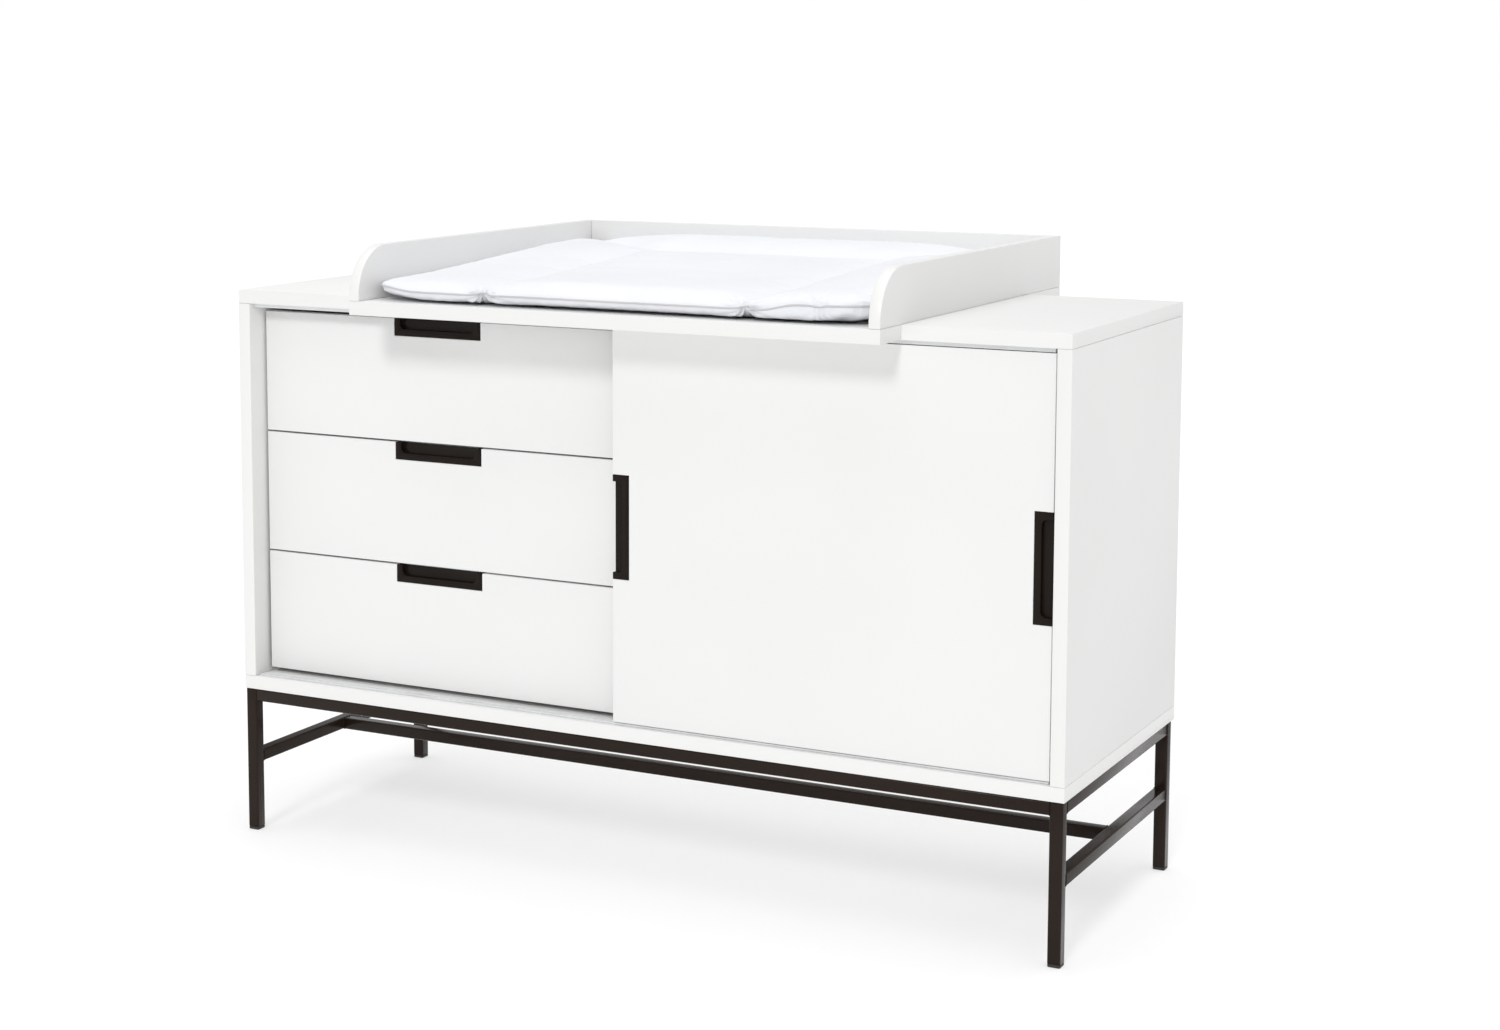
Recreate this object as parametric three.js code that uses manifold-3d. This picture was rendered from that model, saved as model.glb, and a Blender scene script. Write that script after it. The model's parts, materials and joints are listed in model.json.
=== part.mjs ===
// Changing table: a white board carcass with three drawers and one sliding door, on a welded
// square-tube base, with a U-shaped changing tray and a quilted pad on top.
// Millimetres, +X right, +Y back, +Z up. The origin is the middle of the footprint, on the floor.
import * as THREE from "three";
import { mergeVertices } from "three/addons/utils/BufferGeometryUtils.js";
import Module from "manifold-3d";

const wasm = await Module();
wasm.setup();

// Driving dimensions
const gap = 0.3; // left between pieces that touch
const carcass = { width: 1430, depth: 530, height: 668, board: 22 };
const base = { height: 242, tube: 20, wall: 1.5, corner: 2.5, inset: 2, backInset: 7, stretcherZ: 125 };
const foot = { height: 5, bevel: 1.5, stem: 14, stemWidth: 16.2 };
const tray = { width: 901, shift: 8.5, front: 77, back: 155, board: 18, height: 85, corner: 80 };
const pad = { side: 4, front: 15, back: 4, height: 70, frontHeight: 36, corner: 35, bevel: 17 };
const topTrack = { setback: 8, width: 14, height: 6, groove: 8, grooveDepth: 5, end: 5 };
const bottomTrack = { setback: 9, width: 12, height: 3, groove: 4, grooveDepth: 2 };
const door = { width: 706, height: 611.5, thick: 19, setback: 5.5, rightGap: 3, bottomGap: 5 };
const guide = { inset: 78, width: 22, depth: 12, seat: 10, nubWidth: 13, nubDepth: 6, nub: 6 };
const drawer = { setback: 38, leftGap: 5, width: 669.5, frontHeight: 198, front: 18, gap: 3, bottomGap: 9 };
const drawerBox = { left: 15, width: 650, depth: 440, height: 140, side: 12, bottom: 6, rise: 18, groove: 12 };
const runner = { length: 450, height: 45, thick: 9.2, wall: 1.4, lip: 6, lift: 30 };
const handle = { length: 162, height: 28, depth: 10, pocket: 141, pocketHeight: 17.5, pocketDepth: 9, corner: 9 };
const shelf = { thick: 18, frontGap: 50, z: 572 };
const backPanel = { thick: 8, inset: 2 };
const partitionThick = 22;

// Planes worked out from them
const left = -carcass.width / 2;
const right = carcass.width / 2;
const trayDepth = tray.front + carcass.depth + tray.back;
const front = tray.front - trayDepth / 2;
const back = front + carcass.depth;
const bottom = base.height;
const top = bottom + carcass.height;
const innerBottom = bottom + carcass.board;
const innerTop = top - carcass.board;
const innerLeft = left + carcass.board;
const innerRight = right - carcass.board;
const backFace = back - backPanel.inset - backPanel.thick;
const trayLeft = tray.shift - tray.width / 2;
const trayRight = tray.shift + tray.width / 2;
const drawerFrontY = front + drawer.setback;

// Materials
function paint(color, roughness, metalness = 0) {
  return () => new THREE.MeshStandardMaterial({ color, roughness, metalness });
}
const whiteBoard = paint(0xf2f2ef, 0.45);
const drawerBoard = paint(0xe9e8e4, 0.6);
const darkSteel = paint(0x2d2521, 0.5, 0.4);
const darkHandle = paint(0x2b231f, 0.45, 0.4);
const trackMetal = paint(0xb9bab8, 0.35, 0.8);
const runnerSteel = paint(0xa9abad, 0.3, 0.9);
const blackPlastic = paint(0x1c1917, 0.6);
const greyPlastic = paint(0xa8a6a0, 0.5);
const cotton = paint(0xf2f4f8, 0.9);

const model = new THREE.Group();

function addMesh(name, geometry, material, position = [0, 0, 0], turn = 0) {
  const mesh = new THREE.Mesh(geometry, material());
  mesh.name = name;
  mesh.position.set(...position);
  mesh.rotation.y = turn;
  model.add(mesh);
}

// A box geometry between two corners, left in place
function block(x, y, z) {
  const geometry = new THREE.BoxGeometry(x[1] - x[0], y[1] - y[0], z[1] - z[0]);
  return geometry.translate((x[0] + x[1]) / 2, (y[0] + y[1]) / 2, (z[0] + z[1]) / 2);
}

function board(name, material, x, y, z) {
  addMesh(name, block(x, y, z), material);
}

// Joining and cutting
function solid(geometry) {
  const bare = geometry.clone();
  bare.deleteAttribute("normal");
  bare.deleteAttribute("uv");
  const merged = mergeVertices(bare, 1e-3);
  return new wasm.Manifold(
    new wasm.Mesh({
      numProp: 3,
      vertProperties: merged.attributes.position.array,
      triVerts: new Uint32Array(merged.index.array),
    }),
  );
}

function geometryOf(shape) {
  const mesh = shape.getMesh();
  const geometry = new THREE.BufferGeometry();
  geometry.setAttribute("position", new THREE.BufferAttribute(new Float32Array(mesh.vertProperties), 3));
  geometry.setIndex(new THREE.BufferAttribute(new Uint32Array(mesh.triVerts), 1));
  geometry.computeVertexNormals();
  return geometry;
}

function cut(geometry, ...tools) {
  const result = tools.reduce((body, tool) => body.subtract(solid(tool)), solid(geometry));
  return geometryOf(result);
}

function join(...pieces) {
  return geometryOf(pieces.map(solid).reduce((body, piece) => body.add(piece)));
}

// Outlines
function roundedRectangle(width, height, radius) {
  const w = width / 2;
  const h = height / 2;
  const shape = new THREE.Shape();
  shape.moveTo(radius - w, -h);
  shape.lineTo(w - radius, -h);
  shape.absarc(w - radius, radius - h, radius, -Math.PI / 2, 0);
  shape.lineTo(w, h - radius);
  shape.absarc(w - radius, h - radius, radius, 0, Math.PI / 2);
  shape.lineTo(radius - w, h);
  shape.absarc(radius - w, h - radius, radius, Math.PI / 2, Math.PI);
  shape.lineTo(-w, radius - h);
  shape.absarc(radius - w, radius - h, radius, Math.PI, Math.PI * 1.5);
  return shape;
}

function polygon(points) {
  return new THREE.Shape(points.map(([x, y]) => new THREE.Vector2(x, y)));
}

function extrude(shape, depth, curveSegments = 4) {
  return new THREE.ExtrudeGeometry(shape, { depth, bevelEnabled: false, curveSegments });
}

// Carcass
function addCarcass() {
  const full = [left, right];
  const deep = [front, back];
  const between = [innerBottom + gap, innerTop - gap];
  board("top_panel", whiteBoard, full, deep, [innerTop, top]);
  board("bottom_panel", whiteBoard, full, deep, [bottom, innerBottom]);
  board("left_side_panel", whiteBoard, [left, innerLeft], deep, between);
  board("right_side_panel", whiteBoard, [innerRight, right], deep, between);
  board(
    "back_panel",
    whiteBoard,
    [innerLeft + gap, innerRight - gap],
    [backFace, back - backPanel.inset],
    between,
  );
  const half = partitionThick / 2;
  board("centre_partition", whiteBoard, [-half, half], [drawerFrontY, backFace - gap], between);
  board(
    "cupboard_shelf",
    whiteBoard,
    [half + gap, innerRight - gap],
    [front + shelf.frontGap, backFace - gap],
    [shelf.z - shelf.thick / 2, shelf.z + shelf.thick / 2],
  );
}

// The door's top track is a channel open at the bottom, and its bottom track a grooved strip
function addTracks() {
  const h = topTrack.height;
  const g = topTrack.groove / 2;
  const w = topTrack.width / 2;
  const channel = polygon([
    [-w, 0],
    [-g, 0],
    [-g, topTrack.grooveDepth],
    [g, topTrack.grooveDepth],
    [g, 0],
    [w, 0],
    [w, h],
    [-w, h],
  ]);
  addTrack("door_top_track", channel, front + topTrack.setback + w, innerTop - gap - h);

  const bw = bottomTrack.width / 2;
  const bg = bottomTrack.groove / 2;
  const floorZ = bottomTrack.height - bottomTrack.grooveDepth;
  const strip = polygon([
    [-bw, 0],
    [bw, 0],
    [bw, bottomTrack.height],
    [bg, bottomTrack.height],
    [bg, floorZ],
    [-bg, floorZ],
    [-bg, bottomTrack.height],
    [-bw, bottomTrack.height],
  ]);
  addTrack("door_bottom_track", strip, front + bottomTrack.setback + bw, innerBottom + gap);
}

function addTrack(name, profile, y, z) {
  const length = innerRight - innerLeft - 2 * topTrack.end;
  const geometry = extrude(profile, length).rotateX(Math.PI / 2).rotateZ(Math.PI / 2);
  addMesh(name, geometry, trackMetal, [innerLeft + topTrack.end, y, z]);
}

// Base: square tubes and plastic feet
function tubeGeometry(length) {
  const outline = roundedRectangle(base.tube, base.tube, base.corner);
  const bore = base.tube - 2 * base.wall;
  outline.holes.push(roundedRectangle(bore, bore, base.corner - base.wall));
  return extrude(outline, length, 3).translate(0, 0, -length / 2);
}

function addTubeX(name, x, y, z) {
  const geometry = tubeGeometry(x[1] - x[0]).rotateY(Math.PI / 2);
  addMesh(name, geometry, darkSteel, [(x[0] + x[1]) / 2, y, z]);
}

function addTubeY(name, x, y, z) {
  const geometry = tubeGeometry(y[1] - y[0]).rotateX(Math.PI / 2);
  addMesh(name, geometry, darkSteel, [x, (y[0] + y[1]) / 2, z]);
}

function footGeometry() {
  const across = base.tube - 2 * foot.bevel;
  const cap = new THREE.ExtrudeGeometry(roundedRectangle(across, across, 1.5), {
    depth: foot.height - 2 * foot.bevel,
    bevelSize: foot.bevel,
    bevelThickness: foot.bevel,
    bevelSegments: 3,
    curveSegments: 3,
  }).translate(0, 0, foot.bevel);
  const stem = extrude(roundedRectangle(foot.stemWidth, foot.stemWidth, 0.9), foot.stem, 3);
  return join(cap, stem.translate(0, 0, foot.height - foot.bevel));
}

function addLeg(name, x, y) {
  const low = foot.height + gap;
  const high = bottom - gap;
  addMesh(`${name}_leg`, tubeGeometry(high - low), darkSteel, [x, y, (low + high) / 2]);
  addMesh(`${name}_foot`, footGeometry(), blackPlastic, [x, y, 0]);
}

function addBase() {
  const half = base.tube / 2;
  const legX = right - base.inset - half;
  const frontY = front + half;
  const rearY = back - base.backInset - half;
  const railZ = bottom - gap - half;
  const across = [gap + half - legX, legX - half - gap];
  const along = [frontY + half + gap, rearY - half - gap];
  for (const [side, x] of [["left", -legX], ["right", legX]]) {
    addLeg(`front_${side}`, x, frontY);
    addLeg(`rear_${side}`, x, rearY);
    addTubeY(`${side}_top_rail`, x, along, railZ);
    addTubeY(`${side}_stretcher`, x, along, base.stretcherZ);
  }
  addTubeX("front_top_rail", across, frontY, railZ);
  addTubeX("rear_top_rail", across, rearY, railZ);
  addTubeX("centre_stretcher", across, (frontY + rearY) / 2, base.stretcherZ);
}

// Tray: boards on three sides of the top, a lip in front of it and a ledge behind it
function sideBoardGeometry() {
  const outline = new THREE.Shape();
  outline.moveTo(0, 0);
  outline.lineTo(trayDepth, 0);
  outline.lineTo(trayDepth, tray.height);
  outline.lineTo(tray.corner, tray.height);
  outline.absarc(tray.corner, tray.height - tray.corner, tray.corner, Math.PI / 2, Math.PI);
  outline.closePath();
  return extrude(outline, tray.board, 16).rotateX(Math.PI / 2).rotateZ(Math.PI / 2);
}

function addTray() {
  const z = top + gap;
  const trayFront = front - tray.front;
  const trayBack = back + tray.back;
  addMesh("tray_left_board", sideBoardGeometry(), whiteBoard, [trayLeft, trayFront, z]);
  addMesh("tray_right_board", sideBoardGeometry(), whiteBoard, [trayRight - tray.board, trayFront, z]);
  board(
    "tray_back_board",
    whiteBoard,
    [trayLeft + tray.board + gap, trayRight - tray.board - gap],
    [trayBack - tray.board, trayBack],
    [z, z + tray.height],
  );
  const across = [trayLeft, trayRight];
  board("tray_front_lip", whiteBoard, across, [trayFront, front - gap], [innerTop, top]);
  board("tray_rear_ledge", whiteBoard, across, [back + gap, trayBack], [innerTop, top]);
}

// Pad: a soft rounded wedge in the tray, low at the front
function addPad() {
  const width = tray.width - 2 * (tray.board + pad.side + pad.bevel);
  const depth = trayDepth - tray.board - pad.front - pad.back - 2 * pad.bevel;
  const geometry = new THREE.ExtrudeGeometry(roundedRectangle(width, depth, pad.corner), {
    depth: pad.height - 2 * pad.bevel,
    bevelSize: pad.bevel,
    bevelThickness: pad.bevel,
    bevelSegments: 5,
    curveSegments: 8,
  });
  geometry.computeBoundingBox();
  const { min, max } = geometry.boundingBox;
  const corners = geometry.attributes.position;
  for (let i = 0; i < corners.count; i++) {
    const share = (corners.getY(i) - min.y) / (max.y - min.y);
    const height = THREE.MathUtils.lerp(pad.frontHeight, pad.height, share);
    corners.setZ(i, min.z + (corners.getZ(i) - min.z) * (height / pad.height));
  }
  const middleY = (front - tray.front + pad.front + back + tray.back - tray.board - pad.back) / 2;
  addMesh("changing_pad", geometry, cotton, [tray.shift, middleY, top + 2 * gap + pad.bevel]);
}

// Recessed finger cup, drawn with its open edge up: centred in X, front face at Y = 0, open edge at Z = 0
function cupGeometry() {
  const half = handle.pocket / 2;
  const low = -handle.pocketHeight;
  const outline = new THREE.Shape();
  outline.moveTo(-half, 1);
  outline.lineTo(-half, low + handle.corner);
  outline.absarc(handle.corner - half, low + handle.corner, handle.corner, Math.PI, Math.PI * 1.5);
  outline.lineTo(half - handle.corner, low);
  outline.absarc(half - handle.corner, low + handle.corner, handle.corner, -Math.PI / 2, 0);
  outline.lineTo(half, 1);
  outline.closePath();
  const pocket = extrude(outline, handle.pocketDepth + 1, 8)
    .rotateX(Math.PI / 2)
    .translate(0, handle.pocketDepth, 0);
  const reach = handle.length / 2;
  return cut(block([-reach, reach], [0, handle.depth], [-handle.height, 0]), pocket);
}

// Drawers
function drawerFrontGeometry(x, y, z) {
  const middle = (x[0] + x[1]) / 2;
  const reach = handle.length / 2 + gap;
  const seat = block(
    [middle - reach, middle + reach],
    [y[0] - 1, y[0] + handle.depth + gap],
    [z[1] - handle.height - gap, z[1] + 1],
  );
  return cut(block(x, y, z), seat);
}

function addDrawer(name, index) {
  const frontX = [innerLeft + drawer.leftGap, innerLeft + drawer.leftGap + drawer.width];
  const frontY = [drawerFrontY, drawerFrontY + drawer.front];
  const low = innerBottom + drawer.bottomGap + index * (drawer.frontHeight + drawer.gap);
  const high = low + drawer.frontHeight;
  addMesh(`${name}_front`, drawerFrontGeometry(frontX, frontY, [low, high]), whiteBoard);
  addMesh(`${name}_handle`, cupGeometry(), darkHandle, [(frontX[0] + frontX[1]) / 2, frontY[0], high]);

  const boxX = [innerLeft + drawerBox.left, innerLeft + drawerBox.left + drawerBox.width];
  const boxY = [frontY[1] + gap, frontY[1] + gap + drawerBox.depth];
  const boxZ = [low + drawerBox.rise, low + drawerBox.rise + drawerBox.height];
  const side = drawerBox.side;
  board(`${name}_left_side`, drawerBoard, [boxX[0], boxX[0] + side], boxY, boxZ);
  board(`${name}_right_side`, drawerBoard, [boxX[1] - side, boxX[1]], boxY, boxZ);
  const insideX = [boxX[0] + side + gap, boxX[1] - side - gap];
  board(`${name}_back`, drawerBoard, insideX, [boxY[1] - side, boxY[1]], boxZ);
  const panelZ = boxZ[0] + drawerBox.groove;
  board(
    `${name}_bottom`,
    drawerBoard,
    insideX,
    [boxY[0], boxY[1] - side - gap],
    [panelZ, panelZ + drawerBox.bottom],
  );
  addRunners(name, boxZ[0] + runner.lift);
}

// The runner's fixed half is a C channel that opens towards the drawer
function runnerGeometry() {
  const h = runner.height / 2;
  const t = runner.thick;
  const w = runner.wall;
  const l = runner.lip;
  const profile = polygon([
    [0, -h],
    [t, -h],
    [t, l - h],
    [t - w, l - h],
    [t - w, w - h],
    [w, w - h],
    [w, h - w],
    [t - w, h - w],
    [t - w, h - l],
    [t, h - l],
    [t, h],
    [0, h],
  ]);
  return extrude(profile, runner.length).rotateX(Math.PI / 2).translate(0, runner.length, 0);
}

function addRunners(name, low) {
  const y = drawerFrontY + drawer.front + 2 * gap;
  const z = low + runner.height / 2;
  const leftX = innerLeft + gap;
  const rightX = -partitionThick / 2 - gap;
  addMesh(`${name}_left_runner`, runnerGeometry(), runnerSteel, [leftX, y, z]);
  const turned = runnerGeometry().rotateZ(Math.PI).translate(0, runner.length, 0);
  addMesh(`${name}_right_runner`, turned, runnerSteel, [rightX, y, z]);
}

// Sliding door
function doorGeometry(x, y, z, middleZ) {
  const reach = handle.length / 2 + gap;
  const rows = [middleZ - reach, middleZ + reach];
  const deep = [y[0] - 1, y[0] + handle.depth + gap];
  const across = handle.height + gap;
  const seats = [
    block([x[0] - 1, x[0] + across], deep, rows),
    block([x[1] - across, x[1] + 1], deep, rows),
  ];
  const middleY = (y[0] + y[1]) / 2;
  for (const guideX of [x[0] + guide.inset, x[1] - guide.inset]) {
    const w = guide.width / 2 + gap;
    const d = guide.depth / 2 + gap;
    const low = z[1] - guide.seat - gap;
    seats.push(block([guideX - w, guideX + w], [middleY - d, middleY + d], [low, z[1] + 1]));
  }
  return cut(block(x, y, z), ...seats);
}

function guideGeometry() {
  const w = guide.width / 2;
  const d = guide.depth / 2;
  const nw = guide.nubWidth / 2;
  const nd = guide.nubDepth / 2;
  return join(
    block([-w, w], [-d, d], [-guide.seat, 0]),
    block([-nw, nw], [-nd, nd], [-1, guide.nub]),
  );
}

function addDoor() {
  const x = [innerRight - door.rightGap - door.width, innerRight - door.rightGap];
  const y = [front + door.setback, front + door.setback + door.thick];
  const z = [innerBottom + door.bottomGap, innerBottom + door.bottomGap + door.height];
  const middleZ = (z[0] + z[1]) / 2;
  addMesh("door_panel", doorGeometry(x, y, z, middleZ), whiteBoard);
  addMesh("door_left_handle", cupGeometry(), darkHandle, [x[0], y[0], middleZ], -Math.PI / 2);
  addMesh("door_right_handle", cupGeometry(), darkHandle, [x[1], y[0], middleZ], Math.PI / 2);
  const guideY = (y[0] + y[1]) / 2;
  addMesh("door_left_guide", guideGeometry(), greyPlastic, [x[0] + guide.inset, guideY, z[1]]);
  addMesh("door_right_guide", guideGeometry(), greyPlastic, [x[1] - guide.inset, guideY, z[1]]);
}

addCarcass();
addTracks();
addBase();
addTray();
addPad();
["bottom_drawer", "middle_drawer", "top_drawer"].forEach(addDrawer);
addDoor();

export default model;
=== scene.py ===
"""Changing table: materials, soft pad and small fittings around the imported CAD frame.

Metres, +X right, +Y back, +Z up.
"""

import json
import math

import bpy
from mathutils import Matrix, Vector, noise
from mathutils.bvhtree import BVHTree


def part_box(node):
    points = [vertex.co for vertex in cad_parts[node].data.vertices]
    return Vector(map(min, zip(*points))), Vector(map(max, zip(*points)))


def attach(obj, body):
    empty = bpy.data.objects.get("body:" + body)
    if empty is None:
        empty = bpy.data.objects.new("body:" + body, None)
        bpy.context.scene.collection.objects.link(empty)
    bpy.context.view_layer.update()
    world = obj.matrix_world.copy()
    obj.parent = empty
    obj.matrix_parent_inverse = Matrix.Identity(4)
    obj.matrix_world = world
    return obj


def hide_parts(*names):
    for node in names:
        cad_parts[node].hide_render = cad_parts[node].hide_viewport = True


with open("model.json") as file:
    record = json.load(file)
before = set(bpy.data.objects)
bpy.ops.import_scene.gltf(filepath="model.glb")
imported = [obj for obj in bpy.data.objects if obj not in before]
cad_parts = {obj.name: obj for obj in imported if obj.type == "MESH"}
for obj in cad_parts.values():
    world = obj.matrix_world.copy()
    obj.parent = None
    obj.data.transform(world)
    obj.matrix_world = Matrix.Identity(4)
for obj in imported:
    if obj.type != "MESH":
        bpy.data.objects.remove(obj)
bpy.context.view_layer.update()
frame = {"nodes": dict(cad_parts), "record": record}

MM = 0.001
CLEAR = 0.1 * MM  # between a fitting and the part beside it
SEAT = 0.05 * MM  # between a screw or cap and its board
DRAWERS = ("bottom_drawer", "middle_drawer", "top_drawer")


# ---------------------------------------------------------------- camera, light and floor

CAMERA_PLACE = (1.8668, -3.7074, 1.2954)
CAMERA_YAW = math.radians(28.072)  # turned left from looking along +Y
CAMERA_PITCH = math.radians(-6.4)
CAMERA_LENS = 61.85
CAMERA_SHIFT = (0.0667, -0.1149)

LAMPS = (  # name, direction it comes from, strength, angular size in degrees
    ("key", (0.12, -1.0, 0.75), 0.90, 12),
    ("overhead", (0.03, 0.1, 1.0), 1.17, 70),
)
SKY_COLOUR = (1.0, 1.0, 1.0, 1)
SKY_STRENGTH = 0.55
GLOSSY_SHARE = 0.4  # how much of the paper's white shows in reflections
FLOOR_SIZE = 60.0
FLOOR_GLOW = 0.49
FLOOR_TONE = 0.54


def add_camera():
    data = bpy.data.cameras.new("camera")
    data.lens = CAMERA_LENS
    data.shift_x, data.shift_y = CAMERA_SHIFT
    data.clip_end = 200
    camera = bpy.data.objects.new("camera", data)
    camera.location = CAMERA_PLACE
    camera.rotation_euler = (math.pi / 2 + CAMERA_PITCH, 0, CAMERA_YAW)
    bpy.context.scene.collection.objects.link(camera)
    bpy.context.scene.camera = camera


def add_lights():
    for name, direction, strength, size in LAMPS:
        data = bpy.data.lights.new(name, "SUN")
        data.energy = strength
        data.angle = math.radians(size)
        lamp = bpy.data.objects.new(name, data)
        lamp.rotation_euler = Vector(direction).to_track_quat("Z", "Y").to_euler()
        bpy.context.scene.collection.objects.link(lamp)

    world = bpy.data.worlds.new("studio")
    world.use_nodes = True
    nodes, links = world.node_tree.nodes, world.node_tree.links
    nodes.clear()
    sky = nodes.new("ShaderNodeBackground")
    sky.inputs["Color"].default_value = SKY_COLOUR
    sky.inputs["Strength"].default_value = SKY_STRENGTH
    paper = nodes.new("ShaderNodeBackground")
    paper.inputs["Color"].default_value = SKY_COLOUR
    choose = nodes.new("ShaderNodeMixShader")
    path = nodes.new("ShaderNodeLightPath")
    share = nodes.new("ShaderNodeMath")
    share.operation = "MULTIPLY_ADD"
    share.inputs[1].default_value = GLOSSY_SHARE
    output = nodes.new("ShaderNodeOutputWorld")
    links.new(path.outputs["Is Glossy Ray"], share.inputs[0])
    links.new(path.outputs["Is Camera Ray"], share.inputs[2])
    links.new(share.outputs["Value"], choose.inputs["Fac"])
    links.new(sky.outputs["Background"], choose.inputs[1])
    links.new(paper.outputs["Background"], choose.inputs[2])
    links.new(choose.outputs["Shader"], output.inputs["Surface"])
    bpy.context.scene.world = world
    bpy.context.scene.view_settings.view_transform = "Standard"


# ---------------------------------------------------------------- node helpers


class Shader:
    """A Principled material built step by step from procedural nodes."""

    def __init__(self, name):
        self.material = bpy.data.materials.new(name)
        self.material.use_nodes = True
        self.tree = self.material.node_tree
        self.tree.nodes.clear()
        self.surface = self.tree.nodes.new("ShaderNodeBsdfPrincipled")
        output = self.tree.nodes.new("ShaderNodeOutputMaterial")
        self.tree.links.new(self.surface.outputs["BSDF"], output.inputs["Surface"])
        self.coordinates = self.tree.nodes.new("ShaderNodeTexCoord")

    def link(self, source, target):
        self.tree.links.new(source, target)

    def set(self, **values):
        for name, value in values.items():
            self.surface.inputs[name.replace("_", " ")].default_value = value

    def place(self, stretch):
        mapping = self.tree.nodes.new("ShaderNodeMapping")
        mapping.inputs["Scale"].default_value = stretch
        self.link(self.coordinates.outputs["Object"], mapping.inputs["Vector"])
        return mapping.outputs["Vector"]

    def noise(self, scale, detail=3.0, stretch=(1, 1, 1), roughness=0.5):
        node = self.tree.nodes.new("ShaderNodeTexNoise")
        node.inputs["Scale"].default_value = scale
        node.inputs["Detail"].default_value = detail
        node.inputs["Roughness"].default_value = roughness
        self.link(self.place(stretch), node.inputs["Vector"])
        return node.outputs["Fac"]

    def speckle(self, scale):
        node = self.tree.nodes.new("ShaderNodeTexVoronoi")
        node.inputs["Scale"].default_value = scale
        self.link(self.coordinates.outputs["Object"], node.inputs["Vector"])
        return node.outputs["Distance"]

    def wave(self, scale, direction, distortion=0.0):
        node = self.tree.nodes.new("ShaderNodeTexWave")
        node.bands_direction = direction
        node.inputs["Scale"].default_value = scale
        node.inputs["Distortion"].default_value = distortion
        self.link(self.coordinates.outputs["Object"], node.inputs["Vector"])
        return node.outputs["Fac"]

    def math(self, operation, *values):
        node = self.tree.nodes.new("ShaderNodeMath")
        node.operation = operation
        for socket, value in zip(node.inputs, values):
            if isinstance(value, (int, float)):
                socket.default_value = value
            else:
                self.link(value, socket)
        return node.outputs["Value"]

    def range(self, value, low, high, start=0.0, stop=1.0):
        node = self.tree.nodes.new("ShaderNodeMapRange")
        node.inputs["From Min"].default_value = start
        node.inputs["From Max"].default_value = stop
        node.inputs["To Min"].default_value = low
        node.inputs["To Max"].default_value = high
        self.link(value, node.inputs["Value"])
        return node.outputs["Result"]

    def colours(self, factor, first, second):
        node = self.tree.nodes.new("ShaderNodeMix")
        node.data_type = "RGBA"
        self.link(factor, node.inputs["Factor"])
        for socket, colour in ((node.inputs["A"], first), (node.inputs["B"], second)):
            if isinstance(colour, tuple):
                socket.default_value = (*colour, 1)
            else:
                self.link(colour, socket)
        return node.outputs["Result"]

    def colour(self, source):
        self.link(source, self.surface.inputs["Base Color"])

    def roughness(self, source):
        self.link(source, self.surface.inputs["Roughness"])

    def bump(self, height, strength, distance):
        node = self.tree.nodes.new("ShaderNodeBump")
        node.inputs["Strength"].default_value = strength
        node.inputs["Distance"].default_value = distance
        self.link(height, node.inputs["Height"])
        previous = self.surface.inputs["Normal"]
        if previous.is_linked:
            self.link(previous.links[0].from_socket, node.inputs["Normal"])
        self.link(node.outputs["Normal"], previous)


# ---------------------------------------------------------------- materials


def board_material(name, thin, face, edge):
    """Foiled board: pearl-textured faces square to the thin axis, and a smoother band round the edges."""
    s = Shader(name)
    split = s.tree.nodes.new("ShaderNodeSeparateXYZ")
    s.link(s.coordinates.outputs["Normal"], split.inputs["Vector"])
    across = s.math("ABSOLUTE", split.outputs[thin])
    on_face = s.range(across, 0, 1, 0.55, 0.85)
    cloud = s.noise(3.5, 2)
    grain = s.noise(900, 2)
    darker = tuple(c * 0.985 for c in face)
    foil = s.colours(s.range(cloud, 0, 1, 0.35, 0.65), darker, face)
    s.colour(s.colours(on_face, edge, foil))
    s.roughness(s.range(grain, 0.34, 0.46, 0.3, 0.7))
    s.set(IOR=1.46)
    s.bump(s.math("MULTIPLY", grain, on_face), 0.12, 0.0004)
    s.bump(s.noise(14, 1), 0.05, 0.002)
    return s.material


def powder_coat(name, base, light):
    """Dark coat with a fine orange peel and a few paler grains."""
    s = Shader(name)
    peel = s.noise(1300, 2)
    drift = s.noise(9, 3)
    s.colour(s.colours(s.range(drift, 0, 1, 0.3, 0.7), base, light))
    s.set(IOR=1.23)
    s.roughness(s.range(peel, 0.15, 0.25, 0.3, 0.7))
    s.bump(peel, 0.10, 0.0003)
    s.bump(s.speckle(420), 0.08, 0.0004)
    return s.material


def brushed_metal(name, colour, rough, stretch, metallic=1.0):
    """Metal with fine drawing lines along one axis."""
    s = Shader(name)
    lines = s.noise(260, 4, stretch)
    stain = s.noise(22, 3)
    darker = tuple(c * 0.88 for c in colour)
    s.colour(s.colours(s.range(stain, 0, 1, 0.3, 0.7), darker, colour))
    s.set(Metallic=metallic)
    s.roughness(s.range(lines, rough - 0.07, rough + 0.1, 0.3, 0.7))
    s.bump(lines, 0.15, 0.0003)
    return s.material


def plastic(name, colour, rough):
    """Moulded plastic with a spark-eroded grain."""
    s = Shader(name)
    grain = s.noise(700, 3)
    darker = tuple(c * 0.9 for c in colour)
    s.colour(s.colours(s.range(s.noise(40, 2), 0, 1, 0.3, 0.7), darker, colour))
    s.roughness(s.range(grain, rough - 0.06, rough + 0.08, 0.3, 0.7))
    s.bump(grain, 0.2, 0.0003)
    return s.material


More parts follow.
